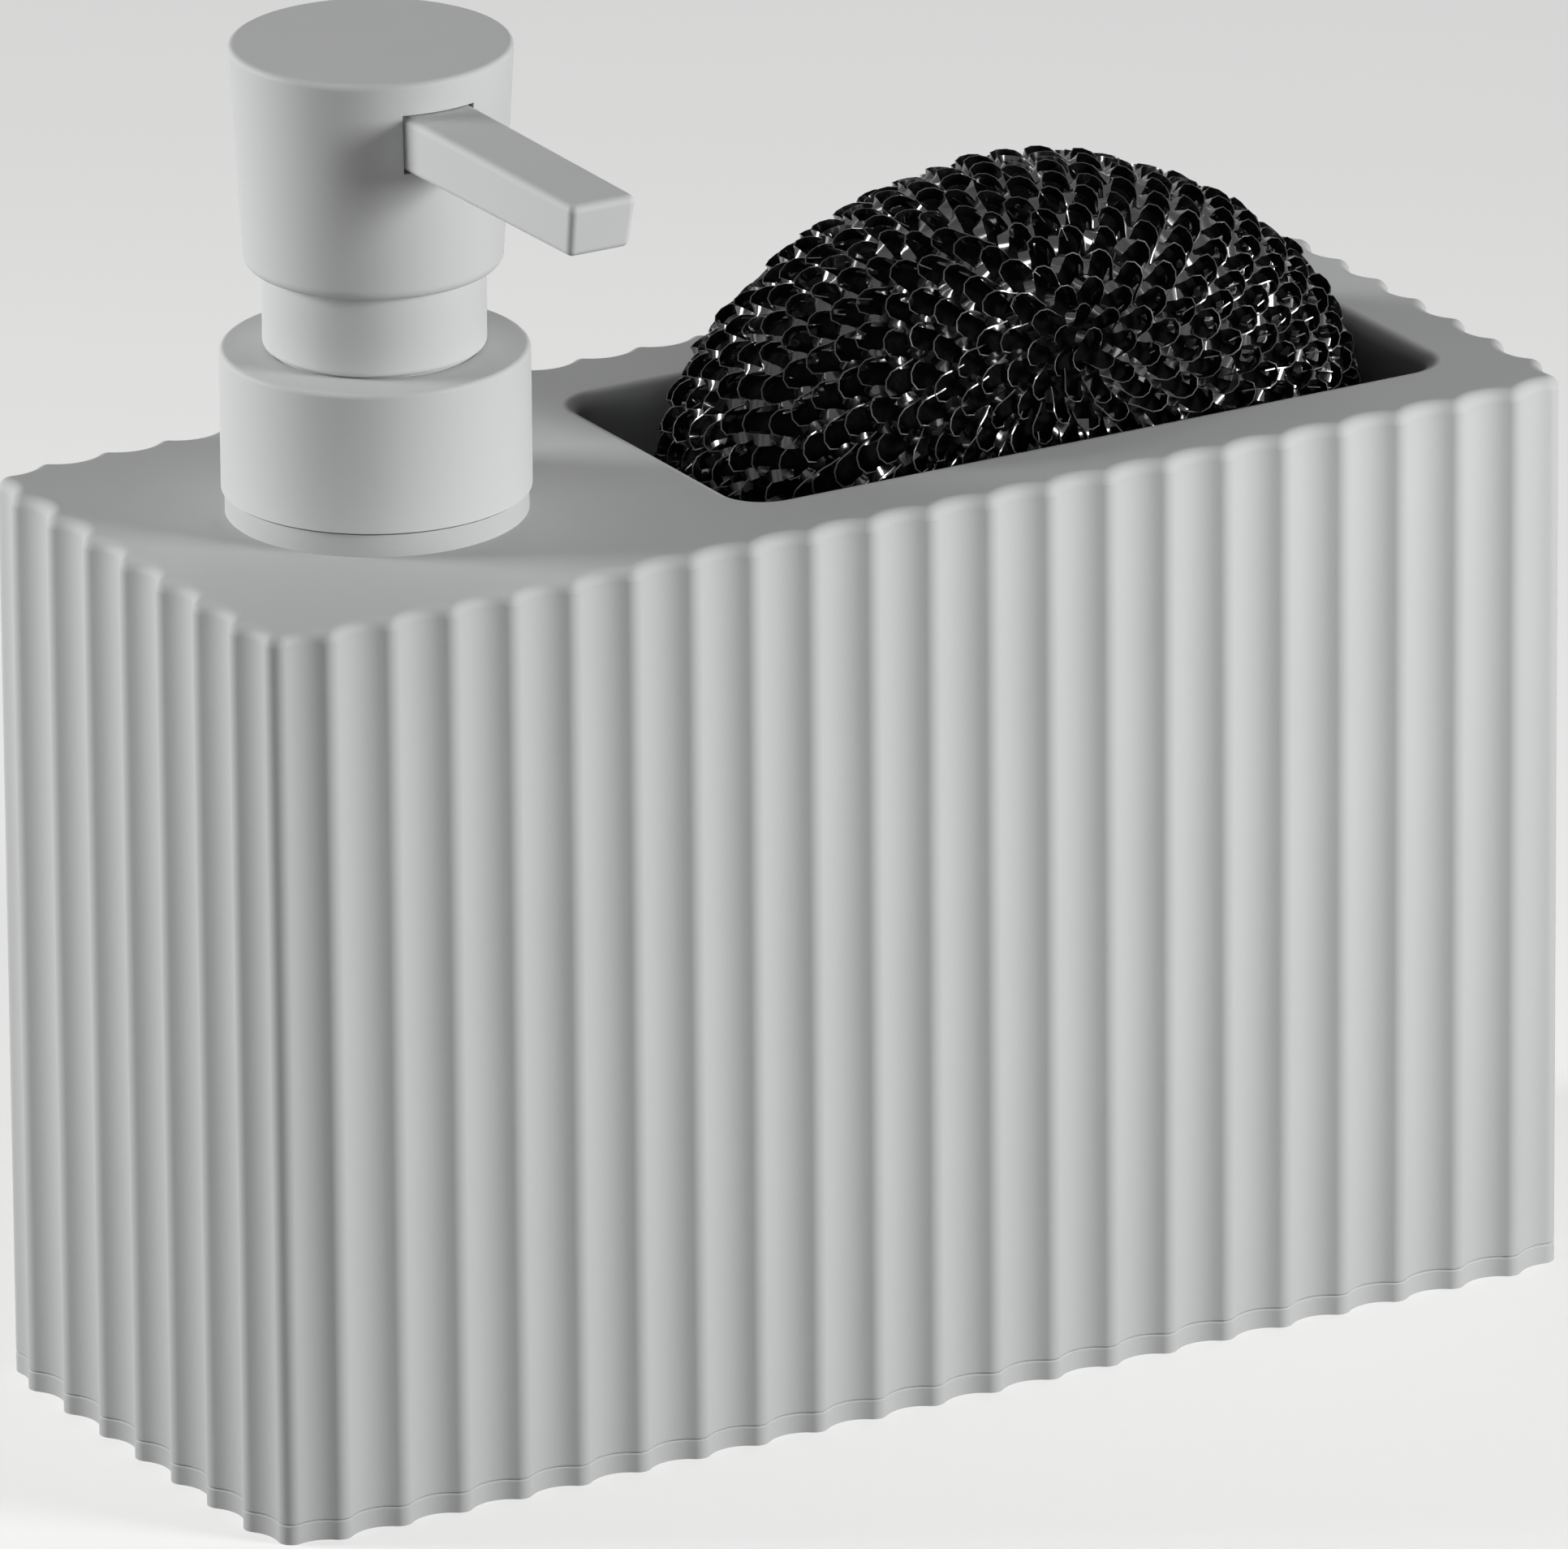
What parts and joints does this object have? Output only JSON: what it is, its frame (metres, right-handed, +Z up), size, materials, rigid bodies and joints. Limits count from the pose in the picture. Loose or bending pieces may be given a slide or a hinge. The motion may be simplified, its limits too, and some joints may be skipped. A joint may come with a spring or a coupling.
{
  "type": "soap pump caddy",
  "caption": "Fluted rectangular soap tank with a screw-on lotion pump at one end and an open deck compartment that holds a knitted scourer.",
  "frame": {"origin": "middle of the underside of the base plate", "axes": "+X along the long side from the pump to the compartment, -Y out of the long front face where the spout points, +Z up"},
  "size_m": [0.177, 0.0879, 0.1682],
  "materials": {
    "case_plastic": "light neutral grey moulded plastic, satin",
    "pump_plastic": "light neutral grey moulded plastic, satin",
    "natural_plastic": "natural polypropylene, milky",
    "tube_plastic": "natural polyethylene tube, milky",
    "seal_rubber": "pale soft seal material",
    "spring_steel": "drawn stainless steel",
    "scourer_knit": "knitted glossy black plastic ribbon"
  },
  "bodies": {
    "caddy": {"body_shell": "case_plastic", "base_plate": "case_plastic"},
    "pump": {"pump_barrel": "natural_plastic", "flange_gasket": "seal_rubber", "guide_sleeve": "pump_plastic", "dip_tube": "tube_plastic", "ball_cage": "natural_plastic", "return_spring": "spring_steel"},
    "collar": {"collar_cover": "pump_plastic", "collar_thread_ring": "natural_plastic"},
    "piston": {"piston_cup": "seal_rubber"},
    "head": {"head_shell": "pump_plastic", "head_core": "natural_plastic", "spout": "pump_plastic", "stem": "natural_plastic", "stem_plug": "natural_plastic"},
    "inlet_valve": {"inlet_ball": "spring_steel"},
    "outlet_valve": {"outlet_ball": "spring_steel"},
    "scourer": {"scourer": "scourer_knit"}
  },
  "joints": [
    {"name": "pump_lift_out", "type": "slide", "parent": "caddy", "child": "pump", "axis": [0, 0, 1], "range_m": [0, 0.125]},
    {"name": "collar_unscrew", "type": "hinge", "parent": "pump", "child": "collar", "pos_m": [-0.0545, 0, 0.12], "axis": [0, 0, 1], "range_deg": [0, 450]},
    {"name": "pump_press", "type": "slide", "parent": "pump", "child": "piston", "axis": [0, 0, 1], "range_m": [-0.009, 0], "stiffness_N_per_m": 700, "springref_m": 0.006, "deforming": ["return_spring"]},
    {"name": "head_swivel", "type": "hinge", "parent": "piston", "child": "head", "pos_m": [-0.0545, 0, 0.15], "axis": [0, 0, 1], "continuous": true},
    {"name": "inlet_ball_lift", "type": "slide", "parent": "pump", "child": "inlet_valve", "axis": [0, 0, 1], "range_m": [0, 0.0015]},
    {"name": "outlet_ball_lift", "type": "slide", "parent": "head", "child": "outlet_valve", "axis": [0, 0, 1], "range_m": [0, 0.001]},
    {"name": "scourer_lift", "type": "slide", "parent": "caddy", "child": "scourer", "axis": [0, 0, 1], "range_m": [0, 0.12]}
  ]
}
